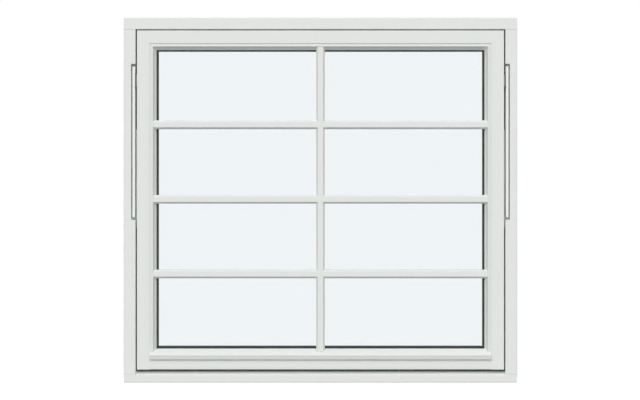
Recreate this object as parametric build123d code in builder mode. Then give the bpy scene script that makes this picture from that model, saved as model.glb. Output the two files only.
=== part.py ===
from build123d import *
import os

os.makedirs("parts", exist_ok=True)

# Pivot window with glazing bars. X runs to the right as seen from outside, -Y
# points outside and +Z up. The origin is the middle of the sill's underside.

# Fixed frame
frame_width = 1380
frame_height = 1280
frame_depth = 115
jamb_face = 42
stop_face = 57
sill_front = 28
sill_slope_run = 30
sill_top = 40.5
arris = 3.0
fine_arris = 1.2
joint_line = 1.2

# Sash and the gaps round it
sash_setback = 1.0
sash_gap = 4.0
head_gap = 3.4
sill_gap = 5.0
sash_depth = 78
seal_thickness = 4.0
seal_width = 8.0
seal_inset = 1.0

# Widths across a sash member, measured from the sash's outer edge
bead_seat = 45
side_sight = 76
top_sight = 73.7
bottom_sight = 82.6
glazing_clearance = 4.0
inner_leg = 14
inner_splay = 6.0

# Glazing: three panes, two spacers, a gasket on each side
pane_thickness = 4.0
pane_gap = 12
spacer_height = 14
gasket_thickness = 3.0
gasket_lip = 2.2

# Glazing beads outside
bead_width = 23.6
bead_step = 5.0
bead_step_depth = 3.5
bead_crest = 6.0
bead_crest_depth = 0.5
bead_foot = 6.0
bead_foot_rise = 7.0
bead_lip = 2.5

# Bottom bead with its drip nose, heights above the sash's bottom edge
drip_low = 34.5
drip_high = 51.5
drip_top = 73.0
drip_reach = 11.0
drip_lean = 4.5
drip_groove = 3.0

# Glazing bars
bar_width = 30
bar_flat = 18
bar_setback = 3.0
bar_edge = 14.0
rows = 4
inner_bar_height = 9.0
inner_bar_edge = 3.0

# Guide rails of the side fittings, in recesses in the jambs
recess_width = 16.0
recess_depth = 24
recess_length = 547
recess_drop = 162.5
rail_width = 8.4
rail_offset = 2.6
rail_end_gap = 9.0
rail_setback = 0.5
groove_width = 11
groove_depth = 5.4
groove_end = 12
shoe_length = 42
shoe_clearance = 0.3
shoe_drop = 16
arm_thickness = 2.4
arm_width = 18
arm_below = 22.5
arm_length = 332
arm_depth = 34
pin_diameter = 12

# Handle in the middle of the bottom rail, inside
handle_height = 47.5
rose_length = 70
rose_height = 28
rose_thickness = 10
rose_end_flat = 4
rose_arris = 2.5
neck_diameter = 17
neck_length = 26
lever_length = 122
lever_height = 20
lever_thickness = 12
lever_arris = 4

# Fixing holes through the stops of the jambs
hole_diameter = 14
hole_end = 160

# Planes and edges that follow from the sizes above
front_y = -frame_depth / 2
back_y = frame_depth / 2
sash_y = front_y + sash_setback
sash_back_y = sash_y + sash_depth
stop_y = sash_back_y + seal_thickness
half_width = frame_width / 2
sash_half = half_width - jamb_face - sash_gap
sash_low = sill_top + sill_gap
sash_high = frame_height - jamb_face - head_gap
seat_half = sash_half - bead_seat
seat_high = sash_high - bead_seat
unit_depth = 3 * pane_thickness + 2 * pane_gap
leg_depth = sash_depth - inner_leg
bead_depth = leg_depth - unit_depth - 2 * gasket_thickness
glass_y = sash_y + bead_depth + gasket_thickness
glass_back_y = glass_y + unit_depth
pane_half = sash_half - side_sight + spacer_height
pane_low = sash_low + bottom_sight - spacer_height
pane_high = sash_high - top_sight + spacer_height
bead_edge = bead_seat + bead_width
inner_side = bead_edge + gasket_lip
inner_bottom = drip_top + gasket_lip
sash_middle = (sash_low + sash_high) / 2
bar_pitch = (sash_high - sash_low - bead_edge - drip_top) / rows
bar_middle = (sash_low + drip_top + sash_high - bead_edge) / 2
recess_high = frame_height - recess_drop
recess_low = recess_high - recess_length
arm_y = front_y + arm_depth
arm_low = recess_low - arm_below
arm_high = arm_low + arm_length
groove_y = front_y + recess_depth / 2


# A flat profile on a plane, with some of its corners rounded
def profile(plane, points, rounded=(), radius=arris):
    with BuildSketch(plane) as sketch:
        with BuildLine():
            Polyline(*points, close=True)
        make_face()
        for corner in [points[index] for index in rounded]:
            fillet(sketch.vertices().sort_by_distance(corner + (0,))[0], radius)
    return sketch.sketch


# Profiles across a member, given as width in from the edge and depth from the
# outside face: for a piece along Z on the right, along X at the top, and along
# X at the bottom
def right_profile(edge, face, shape, rounded=(), level=0, radius=arris):
    points = [(edge - width, face + depth) for width, depth in shape]
    return profile(Plane.XY.offset(level), points, rounded, radius)


def top_profile(edge, face, shape, half_length, rounded=(), radius=arris):
    points = [(face + depth, edge - width) for width, depth in shape]
    return profile(Plane.YZ.offset(-half_length), points, rounded, radius)


def bottom_profile(edge, face, shape, half_length, rounded=()):
    points = [(face + depth, edge + width) for width, depth in shape]
    return profile(Plane.YZ.offset(-half_length), points, rounded)


# A flat rectangle or ring that stands upright, from one depth to another
def upright(y_low, y_high, half, low, high, hole_half=0, hole_low=0, hole_high=0):
    with BuildSketch(Plane.XZ.offset(-y_high)) as sketch:
        with Locations((0, (low + high) / 2)):
            Rectangle(2 * half, high - low)
        if hole_half:
            with Locations((0, (hole_low + hole_high) / 2)):
                Rectangle(2 * hole_half, hole_high - hole_low, mode=Mode.SUBTRACT)
    return extrude(sketch.sketch, amount=y_high - y_low, mode=Mode.PRIVATE)


def finish(piece, name):
    piece.part.label = name
    export_step(piece.part, "parts/" + name + ".step")


# The same piece on the other side of the window
def finish_left(piece, name):
    with BuildPart() as left:
        add(mirror(piece.part, about=Plane.YZ, mode=Mode.PRIVATE))
    finish(left, name)


# Frame head and jambs share one profile: a face beside the sash, and a wider
# stop behind it
member = [
    (0, 0),
    (jamb_face, 0),
    (jamb_face, stop_y - front_y),
    (stop_face, stop_y - front_y),
    (stop_face, frame_depth),
    (0, frame_depth),
]

# Its edge over the sash is rounded between the jambs, and square where it meets them
with BuildPart() as frame_head:
    extrude(top_profile(frame_height, front_y, member, half_width, (0, 1, 4)), amount=frame_width)
    extrude(top_profile(frame_height, front_y, member, half_width, (0, 4)), amount=jamb_face)
    extrude(top_profile(frame_height, front_y, member, -half_width, (0, 4)), amount=-jamb_face)
finish(frame_head, "frame_head")

# The sill has a sloped edge in front of the sash and the same stop behind it
sill = [
    (0, 0),
    (sill_front, 0),
    (sill_top, sill_slope_run),
    (sill_top, stop_y - front_y),
    (stop_face, stop_y - front_y),
    (stop_face, frame_depth),
    (0, frame_depth),
]

with BuildPart() as frame_sill:
    extrude(bottom_profile(0, front_y, sill, half_width, (0, 1, 5)), amount=frame_width)
    extrude(bottom_profile(0, front_y, sill, half_width, (0, 5)), amount=jamb_face)
    extrude(bottom_profile(0, front_y, sill, -half_width, (0, 5)), amount=-jamb_face)
finish(frame_sill, "frame_sill")

# The jamb stands between them, with a fine groove at each joint, a recess for
# the guide rail and two holes for the frame's fixings
with BuildPart() as sill_seat:
    extrude(bottom_profile(0, front_y, sill, half_width), amount=frame_width)
with BuildPart() as head_seat:
    extrude(top_profile(frame_height, front_y, member, half_width), amount=frame_width)
jamb_inner = half_width - jamb_face
hole_y = (stop_y + back_y) / 2

with BuildPart() as frame_jamb:
    extrude(right_profile(half_width, front_y, member, (0, 1, 4)), amount=frame_height)
    add(sill_seat.part, mode=Mode.SUBTRACT)
    add(head_seat.part, mode=Mode.SUBTRACT)
    with BuildSketch(Plane.YZ.offset(jamb_inner)):
        for level in (sill_front, frame_height - jamb_face):
            with Locations((front_y, level)):
                Rectangle(2 * joint_line, 2 * joint_line, rotation=45)
    extrude(amount=jamb_face, mode=Mode.SUBTRACT)
    with BuildSketch(Plane.XY.offset(recess_low)):
        with Locations((jamb_inner, front_y)):
            Rectangle(2 * recess_width, 2 * recess_depth)
    extrude(amount=recess_high - recess_low, mode=Mode.SUBTRACT)
    with BuildSketch(Plane.YZ.offset(half_width - stop_face)):
        with Locations((hole_y, frame_height / 2)):
            with GridLocations(0, frame_height - 2 * hole_end, 1, 2):
                Circle(hole_diameter / 2)
    extrude(amount=stop_face, mode=Mode.SUBTRACT)
finish(frame_jamb, "frame_jamb_right")
finish_left(frame_jamb, "frame_jamb_left")

# Guide rail: a narrow channel that stands on the floor of the recess, with its
# groove towards the sash
rail_inner = jamb_inner + rail_offset
rail_low = recess_low + rail_end_gap
rail_high = recess_high - rail_end_gap
rail_length = rail_high - rail_low

with BuildPart() as guide_rail:
    with BuildSketch(Plane.XY.offset(rail_low)):
        with Locations((rail_inner, front_y + rail_setback)):
            Rectangle(rail_width, recess_depth - rail_setback, align=Align.MIN)
    extrude(amount=rail_length)
    with BuildSketch(Plane.XY.offset(rail_low + groove_end)):
        with Locations((rail_inner, groove_y)):
            Rectangle(2 * groove_depth, groove_width)
    extrude(amount=rail_length - 2 * groove_end, mode=Mode.SUBTRACT)
finish(guide_rail, "guide_rail_right")
finish_left(guide_rail, "guide_rail_left")

# Shoe on the stile, which runs in the groove
shoe_reach = rail_inner + groove_depth - shoe_clearance
shoe_high = rail_high - groove_end - shoe_drop

with BuildPart() as guide_shoe:
    with BuildSketch(Plane.XY.offset(shoe_high - shoe_length)):
        with Locations((sash_half, groove_y)):
            Rectangle(
                shoe_reach - sash_half,
                groove_width - 2 * shoe_clearance,
                align=(Align.MIN, Align.CENTER),
            )
    extrude(amount=shoe_length)
finish(guide_shoe, "guide_shoe_right")
finish_left(guide_shoe, "guide_shoe_left")

# Flat arm in the gap, pivoted on the jamb at its lower end and on the stile at
# its upper end
arm_side = sash_gap - arm_thickness
arm_x = sash_half + arm_side / 2

with BuildPart() as pivot_arm:
    with BuildSketch(Plane.YZ.offset(arm_x)):
        with Locations((arm_y, (arm_low + arm_high) / 2)):
            SlotCenterToCenter(arm_high - arm_low, arm_width, rotation=90)
    extrude(amount=arm_thickness)
    with BuildSketch(Plane.YZ.offset(sash_half)):
        with Locations((arm_y, arm_high)):
            Circle(pin_diameter / 2)
    extrude(amount=arm_side / 2)
    with BuildSketch(Plane.YZ.offset(arm_x + arm_thickness)):
        with Locations((arm_y, arm_low)):
            Circle(pin_diameter / 2)
    extrude(amount=arm_side / 2)
finish(pivot_arm, "pivot_arm_right")
finish_left(pivot_arm, "pivot_arm_left")

# Weatherstrip between the sash's back and the stop
strip_half = sash_half - seal_inset
strip_low = sash_low + seal_inset
strip_high = sash_high - seal_inset

with BuildPart() as weatherstrip:
    add(
        upright(
            sash_back_y,
            stop_y,
            strip_half,
            strip_low,
            strip_high,
            strip_half - seal_width,
            strip_low + seal_width,
            strip_high - seal_width,
        )
    )
finish(weatherstrip, "weatherstrip")


# Profile of a sash member: a seat for the bead, a rebate for the glass and a
# splayed leg inside
def sash_shape(rebate, leg):
    return [
        (0, 0),
        (bead_seat, 0),
        (bead_seat, bead_depth),
        (rebate, bead_depth),
        (rebate, leg_depth),
        (leg, leg_depth),
        (leg, sash_depth - inner_splay),
        (leg - inner_splay, sash_depth),
        (0, sash_depth),
    ]


side_rebate = side_sight - spacer_height - glazing_clearance
top_rebate = top_sight - spacer_height - glazing_clearance
bottom_rebate = bottom_sight - spacer_height - glazing_clearance

# The stiles run from top to bottom, and the rails fit between them
with BuildPart() as sash_stile:
    shape = sash_shape(side_rebate, inner_side)
    extrude(right_profile(sash_half, sash_y, shape, (0, 8), sash_low), amount=sash_high - sash_low)
with BuildPart() as sash_stile_left:
    add(mirror(sash_stile.part, about=Plane.YZ, mode=Mode.PRIVATE))
finish(sash_stile, "sash_stile_right")
finish(sash_stile_left, "sash_stile_left")

with BuildPart() as sash_top_rail:
    shape = sash_shape(top_rebate, inner_side)
    extrude(top_profile(sash_high, sash_y, shape, seat_half, (0, 8)), amount=2 * seat_half)
    add(sash_stile.part, mode=Mode.SUBTRACT)
    add(sash_stile_left.part, mode=Mode.SUBTRACT)
finish(sash_top_rail, "sash_top_rail")

with BuildPart() as sash_bottom_rail:
    shape = sash_shape(bottom_rebate, inner_bottom)
    extrude(bottom_profile(sash_low, sash_y, shape, seat_half, (0, 8)), amount=2 * seat_half)
    add(sash_stile.part, mode=Mode.SUBTRACT)
    add(sash_stile_left.part, mode=Mode.SUBTRACT)
finish(sash_bottom_rail, "sash_bottom_rail")

# Bottom bead: a bright sloped top that ends in a nose with a drip groove
drip = [
    (bead_seat, bead_depth),
    (drip_top, bead_depth),
    (drip_top, bead_depth - bead_lip),
    (drip_high, -drip_reach),
    (drip_low, drip_lean - drip_reach),
    (drip_low, -drip_groove),
    (drip_low + drip_groove, -drip_groove / 2),
    (drip_low + drip_groove, 0),
    (bead_seat, 0),
]

with BuildPart() as bead_bottom:
    extrude(bottom_profile(sash_low, sash_y, drip, seat_half, (3, 4)), amount=2 * seat_half)
finish(bead_bottom, "drip_bead_bottom")

# Beads at the top and the sides: a step beside the sash, a crest, and a steep
# and then a flatter slope to the glass. They are mitred at the top and stand on
# the bottom bead.
bead = [
    (bead_seat, bead_step_depth),
    (bead_seat + bead_step, bead_step_depth),
    (bead_seat + bead_step, bead_crest_depth),
    (bead_seat + bead_step + bead_crest, bead_crest_depth),
    (bead_edge - bead_foot, bead_depth - bead_lip - bead_foot_rise),
    (bead_edge, bead_depth - bead_lip),
    (bead_edge, bead_depth),
    (bead_seat, bead_depth),
]
mitre_right = Plane(origin=(seat_half, 0, seat_high), z_dir=(1, 0, -1))
mitre_left = Plane(origin=(-seat_half, 0, seat_high), z_dir=(-1, 0, -1))
bead_low = sash_low + bead_seat + bead_step

with BuildPart() as bead_top:
    section = top_profile(sash_high, sash_y, bead, seat_half, (2, 3), fine_arris)
    extrude(section, amount=2 * seat_half)
    split(bisect_by=mitre_right, keep=Keep.BOTTOM)
    split(bisect_by=mitre_left, keep=Keep.BOTTOM)
finish(bead_top, "glazing_bead_top")

with BuildPart() as bead_side:
    section = right_profile(sash_half, sash_y, bead, (2, 3), bead_low, fine_arris)
    extrude(section, amount=seat_high - bead_low)
    split(bisect_by=mitre_right, keep=Keep.TOP)
    add(bead_bottom.part, mode=Mode.SUBTRACT)
finish(bead_side, "glazing_bead_right")
finish_left(bead_side, "glazing_bead_left")


# Glazing: panes, spacers and gaskets
def finish_pane(front, name):
    with BuildPart() as pane:
        add(upright(front, front + pane_thickness, pane_half, pane_low, pane_high))
    finish(pane, name)


def finish_spacer(front, name):
    with BuildPart() as spacer:
        add(
            upright(
                front,
                front + pane_gap,
                pane_half,
                pane_low,
                pane_high,
                pane_half - spacer_height,
                pane_low + spacer_height,
                pane_high - spacer_height,
            )
        )
    finish(spacer, name)


middle_y = glass_y + pane_thickness + pane_gap
inner_y = middle_y + pane_thickness + pane_gap
finish_pane(glass_y, "glass_outer")
finish_pane(middle_y, "glass_middle")
finish_pane(inner_y, "glass_inner")
finish_spacer(glass_y + pane_thickness, "spacer_outer")
finish_spacer(middle_y + pane_thickness, "spacer_inner")

# The gaskets show as a lip beside the beads outside and the leg inside. Each
# closes the space behind its bead or leg, from the panes' edge to the lip.
def gasket(front, half, low, high, side, bottom):
    return upright(
        front,
        front + gasket_thickness,
        half,
        low,
        high,
        sash_half - side - gasket_lip,
        sash_low + bottom + gasket_lip,
        sash_high - side - gasket_lip,
    )


gasket_y = glass_y - gasket_thickness

with BuildPart() as gasket_outer:
    add(gasket(gasket_y, pane_half, pane_low, pane_high, bead_edge, drip_top))
finish(gasket_outer, "gasket_outer")

with BuildPart() as gasket_inner:
    add(gasket(glass_back_y, pane_half, pane_low, pane_high, inner_side, inner_bottom))
finish(gasket_inner, "gasket_inner")

# The whole layer of the outer gasket, which the bars' ends stop short of
with BuildPart() as gasket_layer:
    add(gasket(gasket_y, sash_half, sash_low, sash_high, bead_edge, drip_top))


# Glazing bars lie on the glass. A shape gives half the width at each depth,
# from the glass to the flat front.
def bar_shape(glass, edge, front):
    return [
        (-bar_width / 2, glass),
        (-bar_width / 2, edge),
        (-bar_flat / 2, front),
        (bar_flat / 2, front),
        (bar_width / 2, edge),
        (bar_width / 2, glass),
    ]


outer_bar = bar_shape(glass_y, glass_y - bar_edge, sash_y + bar_setback)
inner_bar = bar_shape(
    glass_back_y,
    glass_back_y + inner_bar_edge,
    glass_back_y + inner_bar_height,
)
crest_end = bead_seat + bead_step + bead_crest
bar_end = sash_half - crest_end
bar_low = sash_low + drip_high + (drip_top - drip_high) / 2
bar_high = sash_high - crest_end
leg_end = sash_half - inner_side
leg_low = sash_low + inner_bottom
leg_high = sash_high - inner_side


# The vertical bar is cut to fit the pieces it meets
def finish_vertical(shape, low, high, fits, name):
    with BuildPart() as bar:
        extrude(profile(Plane.XY.offset(low), shape), amount=high - low)
        for piece in fits:
            add(piece.part, mode=Mode.SUBTRACT)
    finish(bar, name)
    return bar


# A horizontal bar runs from the side to the vertical bar and fits over it
def finish_row(shape, level, end, fits, name):
    points = [(depth, level + width) for width, depth in shape]
    with BuildPart() as bar:
        extrude(profile(Plane.YZ, points), amount=end)
        for piece in fits:
            add(piece.part, mode=Mode.SUBTRACT)
    finish(bar, name + "_right")
    finish_left(bar, name + "_left")


outer_fits = [bead_bottom, bead_top, gasket_layer]
bar_vertical = finish_vertical(outer_bar, bar_low, bar_high, outer_fits, "outer_bar_vertical")
inner_vertical = finish_vertical(inner_bar, leg_low, leg_high, [gasket_inner], "inner_bar_vertical")

for row in range(1, rows):
    row_z = bar_middle + (row - rows / 2) * bar_pitch
    outer_name = "outer_bar_row_" + str(row)
    inner_name = "inner_bar_row_" + str(row)
    finish_row(outer_bar, row_z, bar_end, [bar_vertical, bead_side, gasket_layer], outer_name)
    finish_row(inner_bar, row_z, leg_end, [inner_vertical, gasket_inner], inner_name)

# Handle inside: a rose on the bottom rail, and a lever on a neck, shut along
# the rail
handle_z = sash_low + handle_height
neck_y = sash_back_y + rose_thickness
lever_y = neck_y + neck_length

with BuildPart() as handle_rose:
    with BuildSketch(Plane.XZ.offset(-neck_y)):
        with Locations((0, handle_z)):
            RectangleRounded(rose_length, rose_height, (rose_height - rose_end_flat) / 2)
    extrude(amount=rose_thickness)
    fillet(handle_rose.faces().sort_by(Axis.Y)[-1].edges(), rose_arris)
finish(handle_rose, "handle_rose")

with BuildPart() as handle_lever:
    with BuildSketch(Plane.XZ.offset(-neck_y)):
        with Locations((0, handle_z)):
            Circle(neck_diameter / 2)
    extrude(amount=-neck_length)
    with BuildSketch(Plane.XZ.offset(-lever_y)):
        with Locations((lever_length / 2 - lever_height / 2, handle_z)):
            SlotOverall(lever_length, lever_height)
    extrude(amount=lever_thickness)
    fillet(handle_lever.faces().sort_by(Axis.Y)[-1].edges(), lever_arris)
finish(handle_lever, "handle_lever")
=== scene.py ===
import math
import bpy
import bmesh
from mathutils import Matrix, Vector


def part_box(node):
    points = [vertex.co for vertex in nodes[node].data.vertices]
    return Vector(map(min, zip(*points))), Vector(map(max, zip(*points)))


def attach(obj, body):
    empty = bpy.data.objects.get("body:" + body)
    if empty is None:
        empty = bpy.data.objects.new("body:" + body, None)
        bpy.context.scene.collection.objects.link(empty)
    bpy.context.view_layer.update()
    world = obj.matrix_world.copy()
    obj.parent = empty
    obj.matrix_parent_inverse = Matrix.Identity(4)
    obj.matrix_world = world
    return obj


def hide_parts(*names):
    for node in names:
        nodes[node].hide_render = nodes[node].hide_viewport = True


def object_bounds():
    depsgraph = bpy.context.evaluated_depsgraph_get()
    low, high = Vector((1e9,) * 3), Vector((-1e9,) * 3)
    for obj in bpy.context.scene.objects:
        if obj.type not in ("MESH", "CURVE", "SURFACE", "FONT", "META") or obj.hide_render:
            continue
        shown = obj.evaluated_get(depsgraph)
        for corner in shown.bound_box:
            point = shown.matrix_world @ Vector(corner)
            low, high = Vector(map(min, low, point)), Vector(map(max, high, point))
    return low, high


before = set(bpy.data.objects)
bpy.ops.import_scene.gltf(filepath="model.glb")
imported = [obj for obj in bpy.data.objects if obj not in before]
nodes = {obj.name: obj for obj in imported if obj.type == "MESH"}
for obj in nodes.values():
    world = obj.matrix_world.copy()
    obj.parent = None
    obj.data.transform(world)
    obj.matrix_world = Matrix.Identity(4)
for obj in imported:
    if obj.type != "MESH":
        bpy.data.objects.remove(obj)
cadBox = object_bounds()
print("window loaded:", len(nodes), "nodes")


# colours are written as they look on the window, from 0 to 255
def toLinear(red, green, blue):
    channels = [value / 255 for value in (red, green, blue)]
    linear = [c / 12.92 if c <= 0.04045 else ((c + 0.055) / 1.055) ** 2.4 for c in channels]
    return (*linear, 1)


# shader groups
def newShaderGroup(name, inputs, outputs):
    group = bpy.data.node_groups.new(name, "ShaderNodeTree")
    for label, kind, value in inputs:
        socket = group.interface.new_socket(label, in_out="INPUT", socket_type=kind)
        if value is not None:
            socket.default_value = value
    for label, kind in outputs:
        group.interface.new_socket(label, in_out="OUTPUT", socket_type=kind)
    return group, group.nodes.new("NodeGroupInput"), group.nodes.new("NodeGroupOutput")


def addMath(tree, operation, first, second):
    node = tree.nodes.new("ShaderNodeMath")
    node.operation = operation
    for socket, value in zip(node.inputs, (first, second)):
        if isinstance(value, (int, float)):
            socket.default_value = value
        else:
            tree.links.new(value, socket)
    return node.outputs[0]


def addNoise(tree, vector, scale, detail, roughness=0.5):
    node = tree.nodes.new("ShaderNodeTexNoise")
    node.inputs["Detail"].default_value = detail
    node.inputs["Roughness"].default_value = roughness
    tree.links.new(vector, node.inputs["Vector"])
    tree.links.new(scale, node.inputs["Scale"])
    return node.outputs["Fac"]


coatMarks = {
    "markDetail": 3,
    "markRoughness": 0.55,
    "grainFineness": 0.22,  # beside the marks' own
    "grainDetail": 2,
    "height": 0.6,
    "toneDetail": 3,
}


# brush marks and the grain that still shows through the coats, with a slow drift in tone
def makeBrushedCoat():
    group, start, end = newShaderGroup(
        "brushedCoat",
        [
            ("Vector", "NodeSocketVector", None),
            ("Fineness", "NodeSocketFloat", 16.0),
            ("Drift", "NodeSocketFloat", 0.5),
        ],
        [("Relief", "NodeSocketFloat"), ("Tone", "NodeSocketFloat")],
    )
    vector, fineness = start.outputs["Vector"], start.outputs["Fineness"]
    coarser = addMath(group, "MULTIPLY", fineness, coatMarks["grainFineness"])
    marks = addNoise(group, vector, fineness, coatMarks["markDetail"], coatMarks["markRoughness"])
    grain = addNoise(group, vector, coarser, coatMarks["grainDetail"])
    relief = addMath(group, "MULTIPLY", addMath(group, "ADD", marks, grain), coatMarks["height"])
    tone = addNoise(group, vector, start.outputs["Drift"], coatMarks["toneDetail"])
    group.links.new(relief, end.inputs["Relief"])
    group.links.new(tone, end.inputs["Tone"])
    return group


speckle = {
    "speckDetail": 2,
    "speckRoughness": 0.7,
    "bloomFineness": 0.03,  # beside the specks' own
    "bloomDetail": 4,
}


# fine specks, for the bloom on rubber and the texture of plastic and cast metal
def makeFineSpeckle():
    group, start, end = newShaderGroup(
        "fineSpeckle",
        [("Vector", "NodeSocketVector", None), ("Size", "NodeSocketFloat", 900.0)],
        [("Relief", "NodeSocketFloat"), ("Bloom", "NodeSocketFloat")],
    )
    vector, size = start.outputs["Vector"], start.outputs["Size"]
    slow = addMath(group, "MULTIPLY", size, speckle["bloomFineness"])
    specks = addNoise(group, vector, size, speckle["speckDetail"], speckle["speckRoughness"])
    bloom = addNoise(group, vector, slow, speckle["bloomDetail"])
    group.links.new(specks, end.inputs["Relief"])
    group.links.new(bloom, end.inputs["Bloom"])
    return group


brushedCoat = makeBrushedCoat()
fineSpeckle = makeFineSpeckle()
print("shader groups made")


# materials
def newMaterial(name):
    material = bpy.data.materials.new(name)
    material.use_nodes = True
    tree = material.node_tree
    return material, tree, tree.nodes["Principled BSDF"], tree.nodes["Material Output"]


def placeGroup(tree, group, scale, **values):
    coordinates = tree.nodes.new("ShaderNodeTexCoord")
    mapping = tree.nodes.new("ShaderNodeMapping")
    mapping.inputs["Scale"].default_value = scale
    node = tree.nodes.new("ShaderNodeGroup")
    node.node_tree = group
    tree.links.new(coordinates.outputs["Object"], mapping.inputs["Vector"])
    tree.links.new(mapping.outputs["Vector"], node.inputs["Vector"])
    for label, value in values.items():
        node.inputs[label].default_value = value
    return node


def addTint(tree, factor, light, dark, shader):
    mix = tree.nodes.new("ShaderNodeMix")
    mix.data_type = "RGBA"
    mix.inputs["A"].default_value = toLinear(*light)
    mix.inputs["B"].default_value = toLinear(*dark)
    tree.links.new(factor, mix.inputs["Factor"])
    tree.links.new(mix.outputs["Result"], shader.inputs["Base Color"])


noiseSpan = (0.3, 0.7)  # most of a noise's values lie between these


def addRange(tree, value, low, high, socket):
    node = tree.nodes.new("ShaderNodeMapRange")
    node.inputs["From Min"].default_value, node.inputs["From Max"].default_value = noiseSpan
    node.inputs["To Min"].default_value = low
    node.inputs["To Max"].default_value = high
    tree.links.new(value, node.inputs["Value"])
    tree.links.new(node.outputs["Result"], socket)


def addBump(tree, height, strength, distance, shader):
    bump = tree.nodes.new("ShaderNodeBump")
    bump.inputs["Strength"].default_value = strength
    bump.inputs["Distance"].default_value = distance
    tree.links.new(height, bump.inputs["Height"])
    tree.links.new(bump.outputs["Normal"], shader.inputs["Normal"])


paint = {
    "light": (225.5, 228, 225.5),
    "dark": (220.5, 224, 220.5),
    "roughness": (0.40, 0.50),
    "fineness": 16.0,
    "across": 36.0,  # how much finer the marks are across the grain
    "relief": 0.00025,
    "strength": 0.8,
}


def makePaint(name, grain):
    material, tree, shader, _ = newMaterial(name)
    scale = [paint["across"]] * 3
    scale["XYZ".index(grain)] = 1.0
    coat = placeGroup(tree, brushedCoat, scale, Fineness=paint["fineness"])
    addTint(tree, coat.outputs["Tone"], paint["light"], paint["dark"], shader)
    addRange(tree, coat.outputs["Relief"], *paint["roughness"], shader.inputs["Roughness"])
    addBump(tree, coat.outputs["Relief"], paint["strength"], paint["relief"], shader)
    return material


glass = {
    "tint": (249.5, 251.1, 251.9),
    "shadowTint": (246, 249, 249),  # for lamplight that passes through
    "ior": 1.5,
}


def makeGlass():
    material, tree, shader, output = newMaterial("clearGlass")
    shader.inputs["Base Color"].default_value = toLinear(*glass["tint"])
    shader.inputs["Roughness"].default_value = 0.0
    shader.inputs["IOR"].default_value = glass["ior"]
    shader.inputs["Transmission Weight"].default_value = 1.0
    # lamps reach what is behind the panes
    clear = tree.nodes.new("ShaderNodeBsdfTransparent")
    clear.inputs["Color"].default_value = toLinear(*glass["shadowTint"])
    path = tree.nodes.new("ShaderNodeLightPath")
    mix = tree.nodes.new("ShaderNodeMixShader")
    tree.links.new(path.outputs["Is Shadow Ray"], mix.inputs[0])
    tree.links.new(shader.outputs["BSDF"], mix.inputs[1])
    tree.links.new(clear.outputs["BSDF"], mix.inputs[2])
    tree.links.new(mix.outputs["Shader"], output.inputs["Surface"])
    return material


# materials that differ in colour, gloss and speckle
finishes = {
    "gasketRubber": {
        "light": (34, 35, 35),
        "dark": (24, 25, 25),
        "roughness": (0.5, 0.68),
        "metal": 0,
        "size": 1400.0,
        "relief": 0.00010,
    },
    "spacerPlastic": {
        "light": (58, 60, 61),
        "dark": (50, 52, 53),
        "roughness": (0.45, 0.6),
        "metal": 0,
        "size": 1100.0,
        "relief": 0.00005,
    },
    # near-black: painted shade for the vent holes' dark insides, as no hole is cut
    "paintedVentShade": {
        "light": (14, 14, 14),
        "dark": (10, 10, 10),
        "roughness": (0.8, 0.9),
        "metal": 0,
        "size": 900.0,
        "relief": 0.00002,
    },
    "railEnamel": {
        "light": (238, 241, 238),
        "dark": (233, 236, 233),
        "roughness": (0.32, 0.42),
        "metal": 0,
        "size": 700.0,
        "relief": 0.00004,
    },
    "greyNylon": {
        "light": (114, 117, 115),
        "dark": (105, 108, 106),
        "roughness": (0.45, 0.6),
        "metal": 0,
        "size": 900.0,
        "relief": 0.00004,
    },
    "zincSteel": {
        "light": (186, 189, 190),
        "dark": (160, 163, 165),
        "roughness": (0.30, 0.48),
        "metal": 1,
        "size": 500.0,
        "relief": 0.00004,
    },
    "satinAlloy": {
        "light": (198, 200, 202),
        "dark": (186, 188, 190),
        "roughness": (0.26, 0.36),
        "metal": 1,
        "size": 1500.0,
        "relief": 0.00003,
    },
}
speckleStrength = 0.3


def makeFinish(name):
    settings = finishes[name]
    material, tree, shader, _ = newMaterial(name)
    specks = placeGroup(tree, fineSpeckle, (1, 1, 1), Size=settings["size"])
    addTint(tree, specks.outputs["Bloom"], settings["light"], settings["dark"], shader)
    addRange(tree, specks.outputs["Bloom"], *settings["roughness"], shader.inputs["Roughness"])
    addBump(tree, specks.outputs["Relief"], speckleStrength, settings["relief"], shader)
    shader.inputs["Metallic"].default_value = settings["metal"]
    return material


paintAcross = makePaint("paintAcross", "X")
paintUpright = makePaint("paintUpright", "Z")
clearGlass = makeGlass()
finish = {name: makeFinish(name) for name in finishes}
print("materials made")

# the first words of a node's name, and its finish; all else is painted
finishOf = {
    ("gasket", "weatherstrip"): finish["gasketRubber"],
    ("spacer",): finish["spacerPlastic"],
    ("guide_rail",): finish["railEnamel"],
    ("guide_shoe",): finish["greyNylon"],
    ("pivot_arm",): finish["zincSteel"],
    ("handle",): finish["satinAlloy"],
    ("glass",): clearGlass,
}
uprightWords = ("jamb", "stile", "vertical", "bead_left", "bead_right")


def materialFor(name):
    for words, material in finishOf.items():
        if name.startswith(words):
            return material
    return paintUpright if any(word in name for word in uprightWords) else paintAcross


for name, node in nodes.items():
    node.data.materials.clear()
    node.data.materials.append(materialFor(name))


# meshes
def finishPiece(name, mesh, material):
    piece = bpy.data.objects.new(name, mesh)
    bpy.context.scene.collection.objects.link(piece)
    piece.data.materials.clear()
    piece.data.materials.append(material)
    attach(piece, "root")
    return piece


def meshFrom(shape, name, sharpAngle):
    bmesh.ops.remove_doubles(shape, verts=shape.verts, dist=1e-6)
    bmesh.ops.recalc_face_normals(shape, faces=shape.faces)
    for face in shape.faces:
        face.smooth = True
    for edge in shape.edges:
        edge.smooth = edge.is_manifold and edge.calc_face_angle(0) < math.radians(sharpAngle)
    mesh = bpy.data.meshes.new(name)
    shape.to_mesh(mesh)
    shape.free()
    return mesh


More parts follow.
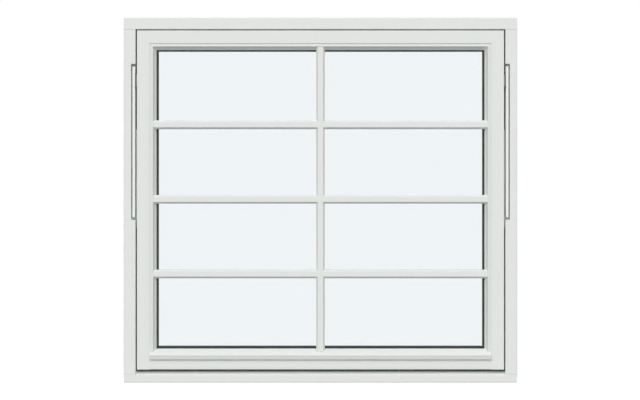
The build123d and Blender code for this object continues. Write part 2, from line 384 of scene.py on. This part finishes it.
# The rubber strips run round the sash with mitred corners. A profile gives the
# distance out from the strip's inner edge, and the distance from what it rests on.
gasketLip = {
    "shown": 0.0022,  # beyond the beads outside and the sash's legs inside
    "sharpAngle": 35,
    "profile": [
        (0.0006, 0.0), (0.0001, 0.0004), (0.0, 0.0010), (0.0003, 0.0016), (0.0008, 0.0021),
        (0.0014, 0.0025), (0.0020, 0.0027), (0.0022, 0.0030), (0.0060, 0.0030), (0.0060, 0.0),
    ],
}
bulbStrip = {
    "width": 0.008,
    "sharpAngle": 35,
    "profile": [
        (0.0, 0.0), (0.0, 0.0010), (0.0012, 0.0013), (0.0012, 0.0023), (0.0018, 0.0033),
        (0.0028, 0.0039), (0.0040, 0.0040), (0.0052, 0.0039), (0.0062, 0.0033),
        (0.0068, 0.0023), (0.0068, 0.0013), (0.0080, 0.0010), (0.0080, 0.0),
    ],
}


def makeStrip(name, node, strip, restY, away, halfWidth, low, high):
    shape = bmesh.new()
    rings = []
    for side, top in ((1, 0), (1, 1), (-1, 1), (-1, 0)):
        corner = []
        for out, depth in strip["profile"]:
            z = high + out if top else low - out
            corner.append(shape.verts.new((side * (halfWidth + out), restY + away * depth, z)))
        rings.append(corner)
    count = len(strip["profile"])
    for first, second in zip(rings, rings[1:] + rings[:1]):
        for i in range(count):
            j = (i + 1) % count
            shape.faces.new((first[i], first[j], second[j], second[i]))
    mesh = meshFrom(shape, name, strip["sharpAngle"])
    piece = finishPiece(name, mesh, finish["gasketRubber"])
    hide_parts(node)


def makeGasket(name, node, around, outside):
    low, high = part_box(node)
    left, bottom, top = [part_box(other) for other in around]
    shown = gasketLip["shown"]
    makeStrip(
        name, node, gasketLip,
        restY=high.y if outside else low.y,
        away=-1 if outside else 1,
        halfWidth=-left[1].x - shown,
        low=bottom[1].z + shown,
        high=top[0].z - shown,
    )


def makeWeatherstrip():
    low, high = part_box("weatherstrip")
    width = bulbStrip["width"]
    makeStrip(
        "weatherstripBulb", "weatherstrip", bulbStrip,
        restY=high.y,
        away=-1,
        halfWidth=high.x - width,
        low=low.z + width,
        high=high.z - width,
    )


makeGasket(
    "outerGasketLip", "gasket_outer", outside=True,
    around=("glazing_bead_left", "drip_bead_bottom", "glazing_bead_top"),
)
makeGasket(
    "innerGasketLip", "gasket_inner", outside=False,
    around=("sash_stile_left", "sash_bottom_rail", "sash_top_rail"),
)
makeWeatherstrip()
print("gaskets and weatherstrip made")

# lever: out of the rose, round a bend and along the rail, waisted in the middle
roseLow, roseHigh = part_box("handle_rose")
roseLevel = (roseLow.z + roseHigh.z) / 2
lever = {
    "segments": 48,
    "steps": 3,  # rings from one station to the next
    "squareness": 2.7,
    "sharpAngle": 50,
    # distance along the rail, distance out from the rose, half height, half thickness
    "stations": [
        (0.0, 0.0, 0.0085, 0.0085),
        (0.0, 0.0050, 0.0082, 0.0080),
        (0.0, 0.0100, 0.0084, 0.0075),
        (0.0008, 0.0138, 0.0088, 0.0071),
        (0.0029, 0.0171, 0.0091, 0.0067),
        (0.0062, 0.0192, 0.0094, 0.0064),
        (0.0100, 0.0200, 0.0096, 0.0062),
        (0.0180, 0.0200, 0.0097, 0.0060),
        (0.0350, 0.0200, 0.0092, 0.0056),
        (0.0600, 0.0200, 0.0086, 0.0053),
        (0.0850, 0.0200, 0.0090, 0.0055),
        (0.1020, 0.0200, 0.0096, 0.0057),
        (0.1075, 0.0200, 0.0090, 0.0053),
        (0.1105, 0.0200, 0.0074, 0.0043),
        (0.1117, 0.0200, 0.0050, 0.0028),
        (0.1120, 0.0200, 0.0022, 0.0012),
    ],
}


# rows in between the stations, along a smooth curve through them
def addSteps(stations, steps):
    rows = []
    last = len(stations) - 1
    for i in range(last):
        four = [stations[min(max(k, 0), last)] for k in (i - 1, i, i + 1, i + 2)]
        for t in [step / steps for step in range(steps)]:
            rows.append([
                b + t * (c - a + t * (2 * a - 5 * b + 4 * c - d + t * (3 * b - a - 3 * c + d))) / 2
                for a, b, c, d in zip(*four)
            ])
    return rows + [stations[-1]]


def makeLever():
    shape = bmesh.new()
    stations = addSteps(lever["stations"], lever["steps"])
    segments = lever["segments"]
    power = 2 / lever["squareness"]
    rings = []
    for i, (x, y, halfHeight, halfThick) in enumerate(stations):
        before, after = stations[max(i - 1, 0)], stations[min(i + 1, len(stations) - 1)]
        along = Vector((after[0] - before[0], after[1] - before[1], 0)).normalized()
        across = Vector((along.y, -along.x, 0))
        ring = []
        for k in range(segments):
            angle = 2 * math.pi * k / segments
            c, s = math.cos(angle), math.sin(angle)
            up = math.copysign(abs(s) ** power, s) * halfHeight
            out = math.copysign(abs(c) ** power, c) * halfThick
            middle = Vector((x, roseHigh.y + y, roseLevel + up))
            ring.append(shape.verts.new(middle + across * out))
        rings.append(ring)
    for first, second in zip(rings, rings[1:]):
        for k in range(segments):
            n = (k + 1) % segments
            shape.faces.new((first[k], first[n], second[n], second[k]))
    shape.faces.new(rings[0])
    shape.faces.new(rings[-1])
    return meshFrom(shape, "handleLever", lever["sharpAngle"])


piece = finishPiece("handleLever", makeLever(), finish["satinAlloy"])
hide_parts("handle_lever")
print("handle made")


# Geometry Nodes for what repeats
def newGeometryTree(name, inputs):
    tree = bpy.data.node_groups.new(name, "GeometryNodeTree")
    for label, kind in inputs:
        tree.interface.new_socket(label, in_out="INPUT", socket_type=kind)
    tree.interface.new_socket("Geometry", in_out="OUTPUT", socket_type="NodeSocketGeometry")
    return tree, tree.nodes.new("NodeGroupInput"), tree.nodes.new("NodeGroupOutput")


def realizeAndFinish(tree, instances, start, end):
    realize = tree.nodes.new("GeometryNodeRealizeInstances")
    paintIt = tree.nodes.new("GeometryNodeSetMaterial")
    tree.links.new(instances, realize.inputs["Geometry"])
    tree.links.new(realize.outputs["Geometry"], paintIt.inputs["Geometry"])
    tree.links.new(start.outputs["Finish"], paintIt.inputs["Material"])
    tree.links.new(paintIt.outputs["Geometry"], end.inputs["Geometry"])


# small holes in a spacer's face, which let the drying agent reach the air; each is drawn as a
# near-black dot, painted shade that stands in for the hole's dark inside
def makeVentTree():
    tree, start, end = newGeometryTree(
        "spacerVents",
        [
            ("Width", "NodeSocketFloat"),
            ("Height", "NodeSocketFloat"),
            ("Centre", "NodeSocketVector"),
            ("Spacing", "NodeSocketFloat"),
            ("Radius", "NodeSocketFloat"),
            ("Finish", "NodeSocketMaterial"),
        ],
    )
    path = tree.nodes.new("GeometryNodeCurvePrimitiveQuadrilateral")
    stand = tree.nodes.new("GeometryNodeTransform")
    stand.inputs["Rotation"].default_value = (math.radians(90), 0, 0)  # upright, like the panes
    points = tree.nodes.new("GeometryNodeResampleCurve")
    points.mode = "LENGTH"
    hole = tree.nodes.new("GeometryNodeMeshIcoSphere")
    place = tree.nodes.new("GeometryNodeInstanceOnPoints")
    tree.links.new(start.outputs["Width"], path.inputs["Width"])
    tree.links.new(start.outputs["Height"], path.inputs["Height"])
    tree.links.new(path.outputs["Curve"], stand.inputs["Geometry"])
    tree.links.new(start.outputs["Centre"], stand.inputs["Translation"])
    tree.links.new(stand.outputs["Geometry"], points.inputs["Curve"])
    tree.links.new(start.outputs["Spacing"], points.inputs["Length"])
    tree.links.new(start.outputs["Radius"], hole.inputs["Radius"])
    tree.links.new(points.outputs["Curve"], place.inputs["Points"])
    tree.links.new(hole.outputs["Mesh"], place.inputs["Instance"])
    realizeAndFinish(tree, place.outputs["Instances"], start, end)
    return tree


screwHead = {
    "sides": 28,
    # shares of the head's radius, and of its thickness
    "slotLength": 1.15,
    "slotWidth": 0.26,
    "slotRise": 0.45,
}


# a row of screw heads with a cross recess
def makeScrewTree():
    tree, start, end = newGeometryTree(
        "screwRow",
        [
            ("Count", "NodeSocketInt"),
            ("First", "NodeSocketVector"),
            ("Step", "NodeSocketVector"),
            ("Turn", "NodeSocketRotation"),
            ("Radius", "NodeSocketFloat"),
            ("Thickness", "NodeSocketFloat"),
            ("Seed", "NodeSocketInt"),
            ("Finish", "NodeSocketMaterial"),
        ],
    )
    line = tree.nodes.new("GeometryNodeMeshLine")
    head = tree.nodes.new("GeometryNodeMeshCylinder")
    head.inputs["Vertices"].default_value = screwHead["sides"]
    cut = tree.nodes.new("GeometryNodeMeshBoolean")
    cut.operation = "DIFFERENCE"
    place = tree.nodes.new("GeometryNodeInstanceOnPoints")
    tree.links.new(start.outputs["Count"], line.inputs["Count"])
    tree.links.new(start.outputs["First"], line.inputs["Start Location"])
    tree.links.new(start.outputs["Step"], line.inputs["Offset"])
    tree.links.new(start.outputs["Radius"], head.inputs["Radius"])
    tree.links.new(start.outputs["Thickness"], head.inputs["Depth"])
    tree.links.new(head.outputs["Mesh"], cut.inputs["Mesh 1"])
    for longWay in (0, 1):
        size = tree.nodes.new("ShaderNodeCombineXYZ")
        for axis in (0, 1):
            share = screwHead["slotLength"] if axis == longWay else screwHead["slotWidth"]
            length = addMath(tree, "MULTIPLY", start.outputs["Radius"], share)
            tree.links.new(length, size.inputs[axis])
        tree.links.new(start.outputs["Thickness"], size.inputs[2])
        slot = tree.nodes.new("GeometryNodeMeshCube")
        raiseIt = tree.nodes.new("GeometryNodeTransform")
        lift = tree.nodes.new("ShaderNodeCombineXYZ")
        rise = addMath(tree, "MULTIPLY", start.outputs["Thickness"], screwHead["slotRise"])
        tree.links.new(rise, lift.inputs[2])
        tree.links.new(size.outputs[0], slot.inputs["Size"])
        tree.links.new(slot.outputs["Mesh"], raiseIt.inputs["Geometry"])
        tree.links.new(lift.outputs[0], raiseIt.inputs["Translation"])
        tree.links.new(raiseIt.outputs["Geometry"], cut.inputs["Mesh 2"])
    tree.links.new(line.outputs["Mesh"], place.inputs["Points"])
    tree.links.new(cut.outputs["Mesh"], place.inputs["Instance"])
    tree.links.new(start.outputs["Turn"], place.inputs["Rotation"])
    # each is driven home at an angle of its own
    angle = tree.nodes.new("FunctionNodeRandomValue")
    spin = tree.nodes.new("ShaderNodeCombineXYZ")
    turned = tree.nodes.new("GeometryNodeRotateInstances")
    tree.links.new(start.outputs["Seed"], angle.inputs["Seed"])
    tree.links.new(angle.outputs[1], spin.inputs[2])
    tree.links.new(place.outputs["Instances"], turned.inputs["Instances"])
    tree.links.new(spin.outputs[0], turned.inputs["Rotation"])
    realizeAndFinish(tree, turned.outputs["Instances"], start, end)
    return tree


def runTree(name, tree, values):
    holder = bpy.data.objects.new(name + "Maker", bpy.data.meshes.new(name + "Maker"))
    bpy.context.scene.collection.objects.link(holder)
    modifier = holder.modifiers.new("nodes", "NODES")
    modifier.node_group = tree
    for item in tree.interface.items_tree:
        if item.in_out == "INPUT":
            modifier[item.identifier] = values[item.name]
    bpy.context.view_layer.update()
    shown = holder.evaluated_get(bpy.context.evaluated_depsgraph_get())
    mesh = bpy.data.meshes.new_from_object(shown)
    holder.modifiers.remove(modifier)
    bpy.data.objects.remove(holder)
    return finishPiece(name, mesh, values["Finish"])


vents = {
    "spacerHeight": 0.014,
    "spacing": 0.012,
    "radius": 0.0007,
}
ventTree = makeVentTree()

for name, node in (("outerSpacerVents", "spacer_outer"), ("innerSpacerVents", "spacer_inner")):
    low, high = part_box(node)
    values = {
        "Width": 2 * (high.x - vents["spacerHeight"]),
        "Height": high.z - low.z - 2 * vents["spacerHeight"],
        "Centre": (0, (low.y + high.y) / 2, (low.z + high.z) / 2),
        "Spacing": vents["spacing"],
        "Radius": vents["radius"],
        "Finish": finish["paintedVentShade"],
    }
    runTree(name, ventTree, values)

roseScrews = {
    "count": 2,
    "apart": 0.043,
    "radius": 0.0036,
    "thickness": 0.0012,
    "seed": 7,
}
values = {
    "Count": roseScrews["count"],
    "First": (-roseScrews["apart"] / 2, roseHigh.y, roseLevel),
    "Step": (roseScrews["apart"], 0, 0),
    "Turn": (math.radians(-90), 0, 0),
    "Radius": roseScrews["radius"],
    "Thickness": roseScrews["thickness"],
    "Seed": roseScrews["seed"],
    "Finish": finish["zincSteel"],
}
runTree("handleScrews", makeScrewTree(), values)
print("vents and screws made")

# stage
stage = {
    "floorAcross": 14.0,
    "floorReach": (-7.0, 0.4),  # in front of the window, and behind it
    "floorDrop": 0.0005,
    "floorColour": 0.45,
    "floorGlow": 0.40,
    "skyLight": 0.52,
    "dimBehind": 0.85,  # how much less sky comes in from behind, through the panes
    "sunLight": 2.02,
    "sunSoftness": 55,
    "sunFrom": (-0.05, -0.50, 0.40),
    "roomLight": 1.25,
    "roomSoftness": 70,
    "roomFrom": (0.20, 0.90, 0.16),
}


# 1 for what is seen in a mirror or through the glass, 0 for light that falls on the window
def seenShare(tree, path):
    mirrored, through = path.outputs["Is Glossy Ray"], path.outputs["Is Transmission Ray"]
    # before any matte bounce
    early = addMath(tree, "LESS_THAN", path.outputs["Diffuse Depth"], 0.5)
    return addMath(tree, "MULTIPLY", addMath(tree, "MAXIMUM", mirrored, through), early)


def makeFloor():
    half = stage["floorAcross"] / 2
    front, back = stage["floorReach"]
    mesh = bpy.data.meshes.new("floor")
    corners = [(-half, front, 0), (half, front, 0), (half, back, 0), (-half, back, 0)]
    mesh.from_pydata(corners, [], [(0, 1, 2, 3)])
    floor = bpy.data.objects.new("floor", mesh)
    floor.location.z = -stage["floorDrop"]
    bpy.context.scene.collection.objects.link(floor)
    material, tree, shader, output = newMaterial("paleFloor")
    tree.nodes.remove(shader)
    path = tree.nodes.new("ShaderNodeLightPath")
    matte = tree.nodes.new("ShaderNodeBsdfDiffuse")
    tint = tree.nodes.new("ShaderNodeMix")
    tint.data_type = "RGBA"
    tint.inputs["A"].default_value = (stage["floorColour"],) * 3 + (1,)
    tint.inputs["B"].default_value = (1, 1, 1, 1)
    glow = tree.nodes.new("ShaderNodeEmission")
    both = tree.nodes.new("ShaderNodeAddShader")
    white = tree.nodes.new("ShaderNodeEmission")
    mix = tree.nodes.new("ShaderNodeMixShader")
    strength = addMath(tree, "MULTIPLY", path.outputs["Is Camera Ray"], stage["floorGlow"])
    tree.links.new(path.outputs["Is Camera Ray"], tint.inputs["Factor"])
    tree.links.new(tint.outputs["Result"], matte.inputs["Color"])
    tree.links.new(strength, glow.inputs["Strength"])
    tree.links.new(matte.outputs["BSDF"], both.inputs[0])
    tree.links.new(glow.outputs["Emission"], both.inputs[1])
    tree.links.new(seenShare(tree, path), mix.inputs[0])
    tree.links.new(both.outputs["Shader"], mix.inputs[1])
    tree.links.new(white.outputs["Emission"], mix.inputs[2])
    tree.links.new(mix.outputs["Shader"], output.inputs["Surface"])
    mesh.materials.append(material)


def makeSky():
    world = bpy.data.worlds.new("paleSky")
    world.use_nodes = True
    tree = world.node_tree
    path = tree.nodes.new("ShaderNodeLightPath")
    light = tree.nodes["Background"]
    light.inputs["Color"].default_value = (1, 1, 1, 1)
    dimming = stage["dimBehind"] * stage["skyLight"]
    behind = addMath(tree, "MULTIPLY", path.outputs["Is Transmission Ray"], dimming)
    tree.links.new(addMath(tree, "SUBTRACT", stage["skyLight"], behind), light.inputs["Strength"])
    white = tree.nodes.new("ShaderNodeBackground")
    white.inputs["Color"].default_value = (1, 1, 1, 1)
    share = addMath(tree, "MAXIMUM", path.outputs["Is Camera Ray"], seenShare(tree, path))
    mix = tree.nodes.new("ShaderNodeMixShader")
    tree.links.new(share, mix.inputs[0])
    tree.links.new(light.outputs["Background"], mix.inputs[1])
    tree.links.new(white.outputs["Background"], mix.inputs[2])
    tree.links.new(mix.outputs["Shader"], tree.nodes["World Output"].inputs["Surface"])
    bpy.context.scene.world = world


def makeSun(name, energy, softness, direction):
    lamp = bpy.data.lights.new(name, "SUN")
    lamp.energy = energy
    lamp.angle = math.radians(softness)
    sun = bpy.data.objects.new(name, lamp)
    sun.rotation_euler = Vector(direction).to_track_quat("Z", "Y").to_euler()
    # it lights the window, and its disk isn't seen through the panes
    sun.visible_transmission = False
    bpy.context.scene.collection.objects.link(sun)


makeFloor()
makeSky()
makeSun("softSun", stage["sunLight"], stage["sunSoftness"], stage["sunFrom"])
makeSun("roomSun", stage["roomLight"], stage["roomSoftness"], stage["roomFrom"])

# camera, level with the window's middle and straight in front of it
view = {
    "lens": 300,
    "sensor": 36,
    "imageWidth": 640,
    "metresPerPixel": 0.003506,  # at the frame's front face
    "aside": -0.0017,  # x in the middle of the picture
    "farthest": 200,
}


def makeCamera():
    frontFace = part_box("frame_head")[0].y
    level = (cadBox[0].z + cadBox[1].z) / 2
    data = bpy.data.cameras.new("photoView")
    data.lens = view["lens"]
    data.sensor_width = view["sensor"]
    data.clip_end = view["farthest"]
    camera = bpy.data.objects.new("photoView", data)
    distance = view["lens"] / view["sensor"] * view["imageWidth"] * view["metresPerPixel"]
    camera.location = (view["aside"], frontFace - distance, level)
    camera.rotation_euler = (math.radians(90), 0, 0)
    bpy.context.scene.collection.objects.link(camera)
    bpy.context.scene.camera = camera


makeCamera()
bpy.context.scene.view_settings.view_transform = "Standard"
print("stage and camera set")
